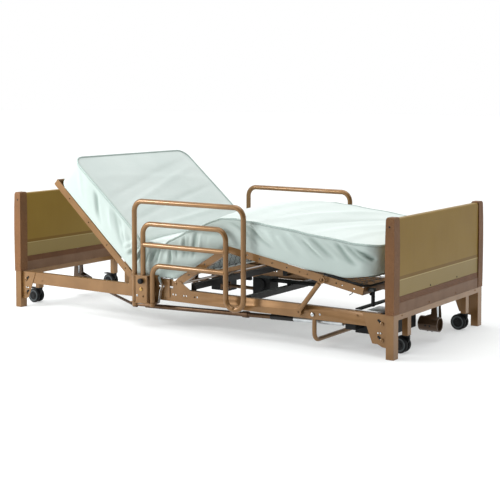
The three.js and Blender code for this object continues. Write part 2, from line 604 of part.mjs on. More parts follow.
// ---------------------------------------------------------------- struts and assist rails
function strut(side) {
  const foot = new THREE.Vector2(STRUT.baseX, STRUT.baseZ);
  const knee = kneePoint();
  const slope = rad(RAISED.foot);
  const reach = new THREE.Vector2(Math.cos(slope), Math.sin(slope)).multiplyScalar(STRUT.along);
  const top = knee.clone().add(reach);
  const along = top.clone().sub(foot).normalize();
  const at = (point, distance) => point.clone().addScaledVector(along, distance);
  const [lower, upper] = [at(foot, 20), at(top, -22)];
  const y = side * STRUT.y;
  const eye = (point) => pinY(point.x, point.y, side, 455, 461, STRUT.eye, 16);
  const tang = (a, b) => {
    const normal = new THREE.Vector2(-along.y, along.x).multiplyScalar(10);
    const corners = [a.clone().add(normal), b.clone().add(normal), b.clone().sub(normal),
      a.clone().sub(normal)];
    return plateY(corners.map((p) => [p.x, p.y]), span(side, 455, 461));
  };
  const body = join(rod([lower.x, y, lower.y], [upper.x, y, upper.y], STRUT.radius, 12),
    eye(foot), eye(top), tang(foot, at(foot, 30)), tang(at(top, -32), top));
  return cut(body, pinY(foot.x, foot.y, side, 440, 480, LUG.hole),
    pinY(top.x, top.y, side, 440, 480, STRUT.slack));
}

function kneePoint() {
  const angle = rad(RAISED.thigh);
  return new THREE.Vector2(PIVOT.thigh, DECK.z)
    .add(new THREE.Vector2(Math.cos(angle), Math.sin(angle)).multiplyScalar(LENGTH.thigh));
}

function assistRail(side) {
  const y = side * RAIL.y;
  const hoop = bentTube([[HOOP.leg, y, 95], [HOOP.leg, y, HOOP.top], [HOOP.right, y, HOOP.top],
    [HOOP.right, y, HOOP.uBottom], [HOOP.innerRight, y, HOOP.uBottom], [HOOP.innerRight, y, HOOP.innerTop],
    [HOOP.second, y, HOOP.innerTop], [HOOP.second, y, 205]],
  (HOOP.right - HOOP.innerRight) / 2 - 0.01, RAIL.tube, 12);
  const middle = rod([HOOP.second, y, HOOP.middle], [HOOP.innerRight, y, HOOP.middle], RAIL.tube - 0.7, 12);
  const lower = bentTube(
    [[HOOP.third, y, 101], [HOOP.third, y, HOOP.lower], [HOOP.innerRight, y, HOOP.lower]],
    RAIL.bend, RAIL.tube - 0.7, 12);
  return join(hoop, middle, lower);
}

function railBracket(side) {
  const b = BRACKET;
  const y = span(side, b.yPlate, b.yFront);
  const standoff = (x) => box([x, x + STANDOFF.length], span(side, b.yBack, b.yPlate + 1), STANDOFF.z);
  const body = join(
    box([b.x0, b.x1], span(side, b.yPlate, b.yPlate + b.sheet), [b.bottom, b.top]),
    box([b.x0, b.lidEnd], y, [b.top - b.sheet, b.top]),
    box([b.x0, b.x1], y, [b.bottom, b.bottom + b.sheet]),
    box(b.face, span(side, b.yFront - b.sheet, b.yFront), [b.bottom, b.top]),
    ...STANDOFF.places.map(standoff));
  const bore = (x, z) => rod([x, side * RAIL.y, z - 10], [x, side * RAIL.y, z + 10], RAIL.tube + 1.6, 12);
  return cut(body, bore(HOOP.leg, b.top), bore(HOOP.second, b.top), bore(HOOP.leg, b.bottom),
    bore(HOOP.third, b.bottom), pinY(KNOB.x, KNOB.z, side, 500, 520, KNOB.hole),
    pinY(BRACKET_HOLE.x, BRACKET_HOLE.z, side, 500, 520, BRACKET_HOLE.radius, 8));
}

function plungerKnob(side) {
  return join(pinY(KNOB.x, KNOB.z, side, KNOB.start, KNOB.head + 1, KNOB.pin),
    pinY(KNOB.x, KNOB.z, side, KNOB.head, KNOB.end, KNOB.radius, 16));
}

// ---------------------------------------------------------------- assembly
const bed = new THREE.Group();
bed.position.x = BOX_SHIFT;

for (const [end, way] of Object.entries(ENDS)) {
  bed.add(named(`${end}_end_frame`, endFrame(way), bronze()));
  bed.add(named(`${end}_panel`, endPanel(way), tan()));
  bed.add(named(`${end}_skirt`, endSkirt(way), skirtBrown()));
  bed.add(named(`${end}_gearbox`, gearbox(way), bronze()));
  bed.add(named(`${end}_lift_screw`, liftScrew(way), zinc()));
  bed.add(named(`${end}_carriage`, carriage(way), bronze()));
  for (const [side, sign] of Object.entries(SIDES)) {
    const corner = `${side}_${end}`;
    bed.add(named(`${corner}_post_cover`, postCover(way, sign), moulded()));
    const caster = new THREE.Group();
    caster.position.set(way * POST.x, sign * CARRIAGE.y, 0);
    const braked = end === 'head';
    caster.add(named(`${corner}_caster_fork`, casterFork(braked), black()));
    caster.add(named(`${corner}_caster_wheels`, casterWheel(), rubber()));
    if (braked) {
      caster.add(named(`${corner}_brake_pedal`, brakePedal(), black()));
    }
    bed.add(caster);
  }
}

for (const [side, sign] of Object.entries(SIDES)) {
  bed.add(named(`${side}_head_rail`, headRail(sign), bronze()));
  bed.add(named(`${side}_foot_rail`, footRail(sign), bronze()));
  bed.add(named(`${side}_strut`, strut(sign), bronze()));
  bed.add(named(`${side}_assist_rail`, assistRail(sign), bronze()));
  bed.add(named(`${side}_rail_bracket`, railBracket(sign), bronze()));
  bed.add(named(`${side}_rail_knob`, plungerKnob(sign), black()));
}

bed.add(named('hinge_cross_tube', crossMember([4, 32], [192, 220], 407), black()));
bed.add(named('foot_cross_tube', crossMember([330, 357], [170, 196], 419.5), black()));
bed.add(named('transport_stand', transportStand(), bronze()));
bed.add(named('seat_frame', seatFrame(), bronze()));
const seatPlate = springPlate(PIVOT.back + 46, PIVOT.thigh - 46).translate([0, 0, DECK.z]);
bed.add(named('seat_springs', seatPlate, wire()));
bed.add(named('mattress_seat', mattressSeat(), mint()));
bed.add(named('back_motor', backMotor(), black()));
bed.add(named('back_rod', driveRod(BACK_ARM, BACK_PIN, -150, [138, 168]), zinc()));
bed.add(named('knee_motor', kneeMotor(), black()));
bed.add(named('knee_rod', driveRod(KNEE_ARM, KNEE_PIN, 225, [148, 172]), zinc()));
bed.add(named('lift_motor', liftMotor(), black()));
bed.add(named('drive_shaft', driveShaft(), bronze()));
bed.add(named('link_shaft', linkShaft(), bronze()));

const back = new THREE.Group();
back.position.set(PIVOT.back, 0, DECK.z);
back.rotation.y = rad(RAISED.back);
back.add(named('back_frame', backFrame(), bronze()));
back.add(named('back_springs', springPlate(-LENGTH.back + 34, -56), wire()));
back.add(named('mattress_back', mattressBack(), mint()));
bed.add(back);

const thigh = new THREE.Group();
thigh.position.set(PIVOT.thigh, 0, DECK.z);
thigh.rotation.y = -rad(RAISED.thigh);
thigh.add(named('thigh_frame', thighFrame(), bronze()));
thigh.add(named('thigh_springs', springPlate(56, LENGTH.thigh - 48), wire()));
thigh.add(named('mattress_thigh', mattressThigh(), mint()));
bed.add(thigh);

const foot = new THREE.Group();
foot.position.set(kneePoint().x, 0, kneePoint().y);
foot.rotation.y = -rad(RAISED.foot);
foot.add(named('foot_frame', footFrame(), bronze()));
foot.add(named('foot_springs', springPlate(58, LENGTH.foot - 34), wire()));
foot.add(named('mattress_foot', mattressFoot(), mint()));
bed.add(foot);

const group = new THREE.Group();
group.add(bed);
export default group;
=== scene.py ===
"""An adjustable hospital bed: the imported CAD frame, dressed with its mattress, springs, tubes and fittings.

Metres, in the frame's own axes: +X to the foot end, +Y to the far side, +Z up.
"""
import json
import math
import random

import bmesh
import bpy
from mathutils import Matrix, Vector

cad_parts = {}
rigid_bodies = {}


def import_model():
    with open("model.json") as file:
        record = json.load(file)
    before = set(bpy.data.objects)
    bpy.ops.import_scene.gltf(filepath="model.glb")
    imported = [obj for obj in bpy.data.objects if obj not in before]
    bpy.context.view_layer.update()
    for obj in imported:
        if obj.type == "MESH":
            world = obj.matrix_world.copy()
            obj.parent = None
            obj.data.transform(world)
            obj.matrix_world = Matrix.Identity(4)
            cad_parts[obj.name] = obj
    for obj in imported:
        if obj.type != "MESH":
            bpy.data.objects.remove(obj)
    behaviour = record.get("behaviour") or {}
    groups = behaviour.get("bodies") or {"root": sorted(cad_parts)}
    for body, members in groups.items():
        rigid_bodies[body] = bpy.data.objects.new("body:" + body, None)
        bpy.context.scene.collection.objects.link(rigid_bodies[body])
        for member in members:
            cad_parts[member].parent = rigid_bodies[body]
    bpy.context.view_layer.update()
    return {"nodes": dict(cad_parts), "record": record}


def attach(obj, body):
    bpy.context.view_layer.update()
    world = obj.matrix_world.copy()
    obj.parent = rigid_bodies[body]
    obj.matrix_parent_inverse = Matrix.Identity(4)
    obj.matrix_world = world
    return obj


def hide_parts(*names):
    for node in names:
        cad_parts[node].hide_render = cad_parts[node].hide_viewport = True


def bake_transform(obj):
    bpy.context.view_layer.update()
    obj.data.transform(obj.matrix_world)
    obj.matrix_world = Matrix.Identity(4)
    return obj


# ---------------------------------------------------------------- driving dimensions
SIGN = {"near": -1, "far": 1}       # sides and ends
WAY = {"foot": 1, "head": -1}
SHIFT = 0.02175                     # the posts' middle lies this far toward the foot
POST_X = 1.095                      # posts from their middle
PIVOT_Z = 0.217
BACK_X = SHIFT - 0.3265             # the three folds, with the bed flat
THIGH_X = SHIFT - 0.0615
KNEE_X = THIGH_X + 0.356
HEAD_END = BACK_X - 0.668           # the mattress, with the bed flat
FOOT_END = KNEE_X + 0.761
SPLITS = (SHIFT - 0.194, SHIFT + 0.1165)     # where the mattress is cut into three pieces
BACK_UP = math.radians(41.5)
THIGH_UP = math.radians(32.0)
FOOT_DOWN = math.radians(10.3)

HALF_WIDTH = 0.457
CORNER = 0.062                      # the mattress's corner in plan
EDGE = 0.024                        # and its lower edge
BEAD = 0.0042                       # piping
FULL_FOLD = 0.009                   # the depth at which the painted shade in the folds' hollows and the painted highlight on their ridges are as strong as they get

RAIL_Y = 0.490                      # assist rails
TUBE = 0.0127
SPRING_HEIGHT = 0.0105              # the spring fabric, above the deck's pivot line
STAND_X = 0.7055                    # the bail under the foot half, from the posts' middle
CASTER_Y = 0.304
CASTER_TRAIL = 0.025
KNOB = (-0.218, 0.224)              # along and up, from the posts' middle
HOOK_X = 1.052                      # the rivets that the side rails hook on
HOOK_HEIGHTS = (0.077, 0.148)
RAIL_FACE = 0.4452                  # outer faces of the side rails and of their corner plates
CORNER_FACE = 0.4503
BRACKET_FACE = 0.5092
GEARBOX_Z = 0.077
GEARBOX_RADIUS = 0.0336
SHAFT = ((-0.360, 0.080), (0.850, 0.120))    # the long shaft's ends, along and up
SHAFT_Y = -0.400


# ---------------------------------------------------------------- materials
def shader(name, roughness, metallic=0.0, **sockets):
    """A new material and its Principled node."""
    material = bpy.data.materials.new(name)
    material.use_nodes = True
    principled = material.node_tree.nodes["Principled BSDF"]
    principled.inputs["Roughness"].default_value = roughness
    principled.inputs["Metallic"].default_value = metallic
    for socket, value in sockets.items():
        principled.inputs[socket.replace("_", " ")].default_value = value
    return material, principled


def add_node(owner, kind, **sockets):
    """A new shader node, with its inputs set to values or wired to other nodes' outputs."""
    node = owner.node_tree.nodes.new("ShaderNode" + kind)
    for name, value in sockets.items():
        socket = node.inputs[name.replace("_", " ")]
        if isinstance(value, bpy.types.NodeSocket):
            owner.node_tree.links.new(value, socket)
        else:
            socket.default_value = value
    return node


def noise(material, scale, detail, stretch=(1, 1, 1)):
    """Noise in the object's own coordinates, about scale features to the metre."""
    place = add_node(material, "TexCoord").outputs["Object"]
    mapping = add_node(material, "Mapping", Vector=place, Scale=stretch).outputs["Vector"]
    return add_node(material, "TexNoise", Vector=mapping, Scale=scale, Detail=detail).outputs["Fac"]


def ramp(owner, factor, stops):
    """A colour ramp through (position, colour) stops."""
    node = add_node(owner, "ValToRGB", Fac=factor)
    elements = node.color_ramp.elements
    while len(elements) < len(stops):
        elements.new(0.5)
    for element, (position, colour) in zip(elements, stops):
        element.position = position
        element.color = (*colour, 1.0)
    return node.outputs["Color"]


def two_tone(material, scale, detail, low, high, span=(0.3, 0.7)):
    """Clouds that drift from one colour to another."""
    return ramp(material, noise(material, scale, detail), [(span[0], low), (span[1], high)])


def mix(material, factor, first, second, blend="MIX"):
    """first and second are sockets or colours."""
    node = add_node(material, "Mix")
    node.data_type = "RGBA"
    node.blend_type = blend
    for name, value in (("Factor", factor), ("A", first), ("B", second)):
        socket = next(s for s in node.inputs if s.name == name and s.enabled)
        if isinstance(value, bpy.types.NodeSocket):
            material.node_tree.links.new(value, socket)
        else:
            socket.default_value = (*value, 1.0) if name != "Factor" else value
    return next(s for s in node.outputs if s.enabled)


def bump(material, principled, height, distance, strength):
    """A bump on top of those that the material already has."""
    node = add_node(material, "Bump", Strength=strength, Distance=distance, Height=height)
    before = principled.inputs["Normal"].links
    if before:
        material.node_tree.links.new(before[0].from_socket, node.inputs["Normal"])
    material.node_tree.links.new(node.outputs["Normal"], principled.inputs["Normal"])


def band(material, low, high):
    """1 between two heights on the object, and 0 outside them."""
    links = material.node_tree.links
    place = add_node(material, "TexCoord").outputs["Object"]
    height = add_node(material, "SeparateXYZ", Vector=place).outputs["Z"]
    both = add_node(material, "Math")
    both.operation = "MULTIPLY"
    for k, (operation, limit) in enumerate((("GREATER_THAN", low), ("LESS_THAN", high))):
        test = add_node(material, "Math")
        test.operation = operation
        test.inputs[1].default_value = limit
        links.new(height, test.inputs[0])
        links.new(test.outputs[0], both.inputs[k])
    return both.outputs[0]


def colour_to(material, principled, colour):
    material.node_tree.links.new(colour, principled.inputs["Base Color"])


def vary_roughness(material, principled, factor, low, high):
    node = add_node(material, "MapRange", Value=factor, To_Min=low, To_Max=high)
    material.node_tree.links.new(node.outputs["Result"], principled.inputs["Roughness"])


def bronze(name, low, high):
    """Bronze powder coat: orange peel, faint cloudiness and rubbed marks."""
    material, principled = shader(name, 0.28, 0.4, Coat_Weight=0.4, Coat_Roughness=0.1,
                                  Specular_IOR_Level=0.3)
    cloud = two_tone(material, 9, 4, low, high)
    marks = ramp(material, noise(material, 46, 6, (1, 1, 3)), [(0.70, (0, 0, 0)), (0.78, (1, 1, 1))])
    colour_to(material, principled, mix(material, marks, cloud, (0.17, 0.082, 0.030)))
    vary_roughness(material, principled, noise(material, 30, 5), 0.24, 0.38)
    bump(material, principled, noise(material, 900, 2), 0.00006, 0.5)
    return material


def brown_moulding():
    """Speckled brown plastic, faintly cloudy, with roughness that varies from place to place."""
    material, principled = shader("brown_moulding", 0.5, Specular_IOR_Level=0.22)
    specks = ramp(material, noise(material, 620, 2),
                  [(0.40, (0.104, 0.045, 0.015)), (0.52, (0.200, 0.096, 0.037)),
                   (0.66, (0.242, 0.127, 0.056))])
    cloud = ramp(material, noise(material, 7, 3), [(0.35, (0.88, 0.86, 0.85)), (0.65, (1.06, 1.0, 0.98))])
    colour_to(material, principled, mix(material, 1.0, specks, cloud, "MULTIPLY"))
    vary_roughness(material, principled, noise(material, 40, 4), 0.42, 0.6)
    bump(material, principled, noise(material, 700, 2), 0.00012, 0.6)
    return material


def tan_panel():
    """Satin golden laminate, paler along its lower strip, with painted shade in a band above the ridge and a
    paler line along the ridge.
    """
    material, principled = shader("tan_panel", 0.42, Coat_Weight=0.06, Coat_Roughness=0.3,
                                  Specular_IOR_Level=0.16)
    cloud = two_tone(material, 2.6, 3, (0.235, 0.140, 0.022), (0.280, 0.176, 0.032))
    grain = ramp(material, noise(material, 60, 6, (1, 1, 0.1)),
                 [(0.35, (0.985, 0.985, 0.98)), (0.65, (1.01, 1.01, 1.01))])
    base = mix(material, 1.0, cloud, grain, "MULTIPLY")
    # painted shade in a band above the ridge
    shaded = mix(material, band(material, 0.338, 0.352), base, (0.190, 0.105, 0.016))
    strip = mix(material, band(material, 0.0, 0.332), shaded, (0.285, 0.205, 0.072))
    colour_to(material, principled, mix(material, band(material, 0.333, 0.337), strip, (0.420, 0.330, 0.150)))
    vary_roughness(material, principled, noise(material, 12, 4), 0.36, 0.5)
    bump(material, principled, noise(material, 300, 3), 0.00008, 0.4)
    return material


def brown_skirt():
    """Brown moulding with a darker ribbed band along its upper part."""
    material, principled = shader("brown_skirt", 0.48, Specular_IOR_Level=0.2)
    plain = two_tone(material, 14, 4, (0.175, 0.094, 0.050), (0.215, 0.120, 0.068))
    ribbed = two_tone(material, 14, 4, (0.125, 0.050, 0.018), (0.165, 0.070, 0.026))
    ribs = band(material, 0.238, 0.30)
    colour_to(material, principled, mix(material, ribs, plain, ribbed))
    links = material.node_tree.links
    place = add_node(material, "TexCoord").outputs["Object"]
    wave = add_node(material, "TexWave", Vector=place, Scale=48.0)
    wave.bands_direction = "Z"
    only = add_node(material, "Math")
    only.operation = "MULTIPLY"
    links.new(wave.outputs["Fac"], only.inputs[0])
    links.new(ribs, only.inputs[1])
    bump(material, principled, only.outputs[0], 0.0012, 0.8)
    bump(material, principled, noise(material, 600, 2), 0.0001, 0.5)
    return material


def black_paint():
    material, principled = shader("black_paint", 0.35, Coat_Weight=0.1, Coat_Roughness=0.25,
                                  Specular_IOR_Level=0.3)
    colour_to(material, principled,
              two_tone(material, 20, 5, (0.005, 0.005, 0.005), (0.014, 0.013, 0.012), (0.35, 0.7)))
    vary_roughness(material, principled, noise(material, 35, 4), 0.28, 0.5)
    bump(material, principled, noise(material, 800, 2), 0.00006, 0.5)
    return material


def black_plastic():
    material, principled = shader("black_plastic", 0.5, Specular_IOR_Level=0.25)
    colour_to(material, principled,
              two_tone(material, 30, 4, (0.004, 0.0045, 0.005), (0.011, 0.012, 0.013), (0.35, 0.7)))
    vary_roughness(material, principled, noise(material, 60, 4), 0.4, 0.6)
    bump(material, principled, noise(material, 1400, 2), 0.0001, 0.6)
    return material


def rubber(name, dark, pale):
    material, principled = shader(name, 0.7, Specular_IOR_Level=0.25)
    colour_to(material, principled, two_tone(material, 45, 5, dark, pale, (0.4, 0.75)))
    vary_roughness(material, principled, noise(material, 70, 4), 0.6, 0.85)
    bump(material, principled, noise(material, 900, 3), 0.0001, 0.5)
    return material


def bare_metal(name, low, high, roughness=(0.22, 0.42)):
    """Plated or bare metal with soft brushing."""
    material, principled = shader(name, 0.3, 1.0)
    colour_to(material, principled, two_tone(material, 26, 5, low, high))
    vary_roughness(material, principled, noise(material, 90, 4, (1, 1, 6)), *roughness)
    bump(material, principled, noise(material, 500, 3), 0.00005, 0.4)
    return material


def mint_fabric(name, low, high, hollow_shade):
    """Coated stretch fabric: a fine knit, small crinkles, a soft sheen, and painted shade in the folds'
    hollows with a painted highlight on their ridges.
    """
    material, principled = shader(name, 0.6, Sheen_Weight=0.1, Sheen_Roughness=0.45, Specular_IOR_Level=0.3)
    plain = two_tone(material, 4, 3, low, high)
    fold = add_node(material, "Attribute")
    fold.attribute_name = "fold"
    depth = add_node(material, "MapRange", Value=fold.outputs["Fac"], From_Min=-FULL_FOLD,
                     From_Max=FULL_FOLD)
    # painted shade in the hollows of the folds and a painted highlight on their ridges
    shade = ramp(material, depth.outputs["Result"],
                 [(0.0, hollow_shade), (0.45, (1.0, 1.0, 1.0)), (1.0, (1.10, 1.10, 1.10))])
    colour_to(material, principled, mix(material, 1.0, plain, shade, "MULTIPLY"))
    bump(material, principled, noise(material, 26, 3, (1, 0.45, 1)), 0.0035, 0.35)
    bump(material, principled, noise(material, 1500, 2), 0.00012, 0.5)
    return material


def mint_piping_and_shade():
    """The welt along the cover's upper edge, darker than the cover: partly the welt's own deeper tone, partly
    painted shade along the seam.
    """
    material, principled = shader("mattress_piping_and_shade", 0.6, Specular_IOR_Level=0.3)
    colour_to(material, principled,
              two_tone(material, 160, 3, (0.340, 0.430, 0.395), (0.450, 0.530, 0.498)))
    bump(material, principled, noise(material, 900, 2), 0.0002, 0.6)
    return material


def spring_wire():
    material, principled = shader("spring_wire", 0.4, 0.7)
    colour_to(material, principled,
              two_tone(material, 60, 4, (0.045, 0.052, 0.055), (0.12, 0.13, 0.135), (0.35, 0.7)))
    vary_roughness(material, principled, noise(material, 80, 3), 0.3, 0.55)
    return material


MATERIALS = {
    "bronze_paint": lambda: bronze("bronze_paint", (0.205, 0.105, 0.036), (0.260, 0.138, 0.052)),
    # a darker copy of the bronze paint, as painted shade on the gearboxes
    "bronze_painted_shade": lambda: bronze("bronze_painted_shade", (0.065, 0.034, 0.016), (0.090, 0.048, 0.022)),
    "brown_moulding": brown_moulding,
    "tan_panel": tan_panel,
    "brown_skirt": brown_skirt,
    "black_paint": black_paint,
    "black_plastic": black_plastic,
    "caster_rubber": lambda: rubber("caster_rubber", (0.005, 0.0055, 0.006), (0.013, 0.014, 0.015)),
    "caster_ring": lambda: rubber("caster_ring", (0.060, 0.070, 0.074), (0.100, 0.112, 0.116)),
    "zinc_plate": lambda: bare_metal("zinc_plate", (0.52, 0.55, 0.57), (0.72, 0.75, 0.76)),
    "brass": lambda: bare_metal("brass", (0.62, 0.40, 0.13), (0.80, 0.56, 0.22)),
    "shaft_steel": lambda: bare_metal("shaft_steel", (0.10, 0.060, 0.036), (0.17, 0.105, 0.065),
                                      (0.35, 0.55)),
    "spring_wire": spring_wire,
    "mattress_cover": lambda: mint_fabric("mattress_cover", (0.600, 0.675, 0.648), (0.650, 0.718, 0.692),
                                          (0.80, 0.82, 0.81)),
    # the side walls' cloth, darker than the top: partly a greyer border fabric, partly painted shade
    "mattress_border_and_shade": lambda: mint_fabric("mattress_border_and_shade", (0.435, 0.510, 0.480), (0.475, 0.550, 0.520),
                                           (0.60, 0.645, 0.625)),
    "mattress_piping_and_shade": mint_piping_and_shade,
}


# ---------------------------------------------------------------- mesh helpers
def new_object(name, vertices, faces, *materials):
    mesh = bpy.data.meshes.new(name)
    mesh.from_pydata([tuple(v) for v in vertices], [], faces)
    mesh.update()
    for material in materials:
        mesh.materials.append(material)
    obj = bpy.data.objects.new(name, mesh)
    bpy.context.scene.collection.objects.link(obj)
    return obj


def shade_smooth(obj, degrees):
    """Smooth shading, with edges sharper than degrees kept crisp."""
    mesh = bmesh.new()
    mesh.from_mesh(obj.data)
    for face in mesh.faces:
        face.smooth = True
    limit = math.radians(degrees)
    for edge in mesh.edges:
        edge.smooth = len(edge.link_faces) == 2 and edge.calc_face_angle(0.0) < limit
    mesh.to_mesh(obj.data)
    mesh.free()


def soften(node, width):
    """Rounded edges on a carried-over CAD node."""
    mesh = node.data
    if mesh.attributes.get("custom_normal"):
        mesh.attributes.remove(mesh.attributes["custom_normal"])
    mesh.polygons.foreach_set("use_smooth", [True] * len(mesh.polygons))
    weld = node.modifiers.new("weld", "WELD")
    weld.merge_threshold = 0.00002
    bevel = node.modifiers.new("bevel", "BEVEL")
    bevel.limit_method = "ANGLE"
    bevel.angle_limit = math.radians(35)
    bevel.width = width
    bevel.segments = 2
    bevel.harden_normals = True


def curve_piece(name, runs, radius, material, sides):
    """Round wire or tube along runs of points."""
    curve = bpy.data.curves.new(name, "CURVE")
    curve.dimensions = "3D"
    curve.bevel_depth = radius
    curve.bevel_resolution = sides
    curve.use_fill_caps = True
    for run in runs:
        spline = curve.splines.new("POLY")
        spline.points.add(len(run) - 1)
        for point, place in zip(spline.points, run):
            point.co = (*place, 1.0)
        spline.use_smooth = True
    curve.materials.append(material)
    obj = bpy.data.objects.new(name, curve)
    bpy.context.scene.collection.objects.link(obj)
    return obj


def rounded(corners, bend):
    """The points of a path through corners, each turned with a round bend."""
    steps = 8
    points = [Vector(corner) for corner in corners]
    path = [points[0]]
    for before, here, after in zip(points, points[1:], points[2:]):
        arriving = (here - before).normalized()
        leaving = (after - here).normalized()
        turn = arriving.angle(leaving)
        reach = bend * math.tan(turn / 2)
        centre = here - arriving * reach + (leaving - arriving * arriving.dot(leaving)).normalized() * bend
        start = here - arriving * reach - centre
        axis = arriving.cross(leaving).normalized()
        for step in range(steps + 1):
            path.append(centre + Matrix.Rotation(turn * step / steps, 3, axis) @ start)
    path.append(points[-1])
    return path


def lathe(profile, segments):
    """Vertices, faces and materials of (radius, distance, material) turned about Y, with flat ends."""
    vertices, faces, kinds = [], [], []
    for radius, along, _ in profile:
        for k in range(segments):
            angle = 2 * math.pi * k / segments
            vertices.append((radius * math.cos(angle), along, radius * math.sin(angle)))
    for i in range(len(profile) - 1):
        for k in range(segments):
            a, b = i * segments + k, i * segments + (k + 1) % segments
            faces.append((a, b, b + segments, a + segments))
            kinds.append(profile[i][2])
    last = (len(profile) - 1) * segments
    faces.append(tuple(reversed(range(segments))))
    faces.append(tuple(last + k for k in range(segments)))
    kinds += [profile[0][2], profile[-1][2]]
    return vertices, faces, kinds


def turned(name, profile, materials, segments=40, smooth=32):
    """A turned piece about Y."""
    vertices, faces, kinds = lathe(profile, segments)
    obj = new_object(name, vertices, faces, *materials)
    obj.data.polygons.foreach_set("material_index", kinds)
    fix_normals(obj)
    shade_smooth(obj, smooth)
    return obj


def fix_normals(obj):
    mesh = bmesh.new()
    mesh.from_mesh(obj.data)
    bmesh.ops.recalc_face_normals(mesh, faces=mesh.faces)
    mesh.to_mesh(obj.data)
    mesh.free()


# ---------------------------------------------------------------- mattress
def eased(x):
    """0 to 1 as x goes from 0 to 1, a little slower at both ends."""
    x = min(max(x, 0.0), 1.0)
    return x - 0.3 * math.sin(2 * math.pi * x) / (2 * math.pi)


def along(points, x):
    """The smooth line through (x, y) points, at x."""
    if x <= points[0][0]:
        return points[0][1]
    for (x0, y0), (x1, y1) in zip(points, points[1:]):
        if x <= x1:
            share = (x - x0) / (x1 - x0)
            return y0 + (y1 - y0) * share * share * (3 - 2 * share)
    return points[-1][1]


# (hinge, reach of the bend to each side, slope before, slope after)
FOLDS = [(BACK_X, 0.115, -BACK_UP, 0.0), (THIGH_X, 0.110, 0.0, THIGH_UP),
         (KNEE_X, 0.090, THIGH_UP, -FOOT_DOWN)]

# Heights above the deck's pivot line along the flat mattress: its piping and its underside, and how much
# higher its middle is than its piping.
TOP = [(HEAD_END, 0.186), (BACK_X - 0.20, 0.192), (BACK_X, 0.188), (SPLITS[0], 0.190),
       (THIGH_X + 0.05, 0.190), (SPLITS[1], 0.178), (KNEE_X - 0.06, 0.156), (KNEE_X, 0.146),
       (KNEE_X + 0.06, 0.156), (KNEE_X + 0.17, 0.167), (KNEE_X + 0.38, 0.181), (KNEE_X + 0.62, 0.196),
       (FOOT_END, 0.212)]
UNDER = [(HEAD_END, 0.020), (BACK_X - 0.30, 0.022), (BACK_X, 0.026), (THIGH_X, 0.021), (SPLITS[1], 0.014),
         (KNEE_X, 0.014), (KNEE_X + 0.40, 0.018), (KNEE_X + 0.60, 0.032), (FOOT_END, 0.070)]
CROWN = [(BACK_X, 0.020), (THIGH_X, 0.030), (KNEE_X, 0.036), (FOOT_END, 0.030)]


def deck_point(x):
    """Where a place along the flat deck is in the modelled pose."""
    back = Vector((BACK_X, 0, PIVOT_Z))
    thigh = Vector((THIGH_X, 0, PIVOT_Z))
    if x < BACK_X:
        return back + (x - BACK_X) * Vector((math.cos(BACK_UP), 0, -math.sin(BACK_UP)))
    if x < THIGH_X:
        return Vector((x, 0, PIVOT_Z))
    rise = Vector((math.cos(THIGH_UP), 0, math.sin(THIGH_UP)))
    if x < KNEE_X:
        return thigh + (x - THIGH_X) * rise
    knee = thigh + (KNEE_X - THIGH_X) * rise
    return knee + (x - KNEE_X) * Vector((math.cos(FOOT_DOWN), 0, -math.sin(FOOT_DOWN)))


def lean(x):
    """The slope of the mattress's section at a place along the flat deck."""
    slope = FOLDS[0][2]
    for hinge, reach, before, after in FOLDS:
        slope += (after - before) * eased((x - hinge + reach) / (2 * reach))
    return slope


def bent(x, y, height):
    """From the flat mattress to the modelled pose."""
    slope = lean(x)
    place = deck_point(x)
    return Vector((place.x - height * math.sin(slope), y, place.z + height * math.cos(slope)))


def side_folds(side):
    """Drape folds on one long side: (place, slant, width, depth, low, high) for each."""
    rng = random.Random(11 if side < 0 else 23)
    folds = []
    x = HEAD_END + 0.05
    while x < FOOT_END - 0.05:
        if x < BACK_X - 0.12:
            step, slant, width, depth = 0.040, 0.17, 0.015, 0.0060
        elif x < KNEE_X - 0.02:
            step, slant, width, depth = 0.023, -0.075, 0.0100, 0.0110
        else:
            step, slant, width, depth = 0.036, 0.190, 0.0155, 0.0120
        folds.append((x, slant * rng.uniform(0.7, 1.35), width * rng.uniform(0.7, 1.5),
                      depth * rng.uniform(-1.0, 0.8), rng.uniform(0.0, 0.3), rng.uniform(0.8, 1.0)))
        x += step * rng.uniform(0.55, 1.4)
    return folds


def fold_depth(folds, x, level):
    """How far the folds push a side out at a place and a level from 0 at the bottom to 1 at the piping."""
    total = 0.0
    for place, slant, width, depth, low, high in folds:
        off = (x - place + slant * (level - 1)) / width
        if abs(off) < 3:
            reach = max(min((level - low) / 0.3, (high - level) / 0.2, 1.0), 0.0)
            total += depth * math.exp(-off * off) * reach * reach * (3 - 2 * reach)
    return total


def top_ripple(x, y):
    """Shallow folds on the upper face."""
    share = y / HALF_WIDTH
    ripple = 0.0
    for place, slant, width, depth in (
            (KNEE_X + 0.16, 0.30, 0.030, 0.0055), (KNEE_X + 0.30, 0.36, 0.026, -0.0050),
            (KNEE_X + 0.43, 0.38, 0.028, 0.0045), (KNEE_X + 0.58, 0.22, 0.024, 0.0035),
            (BACK_X - 0.12, -0.10, 0.014, 0.0040), (BACK_X - 0.19, -0.20, 0.016, -0.0040),
            (BACK_X - 0.26, -0.30, 0.018, 0.0040), (BACK_X - 0.36, -0.26, 0.020, -0.0030),
            (HEAD_END + 0.14, 0.10, 0.026, 0.0020), (BACK_X + 0.10, 0.05, 0.012, -0.0030),
            (THIGH_X - 0.02, 0.06, 0.014, -0.0028), (THIGH_X + 0.05, -0.05, 0.013, 0.0024)):
        off = (x - place - slant * 0.5 * (share + 1)) / width
        ripple += depth * math.exp(-off * off) * (1 - share ** 4)
    return ripple


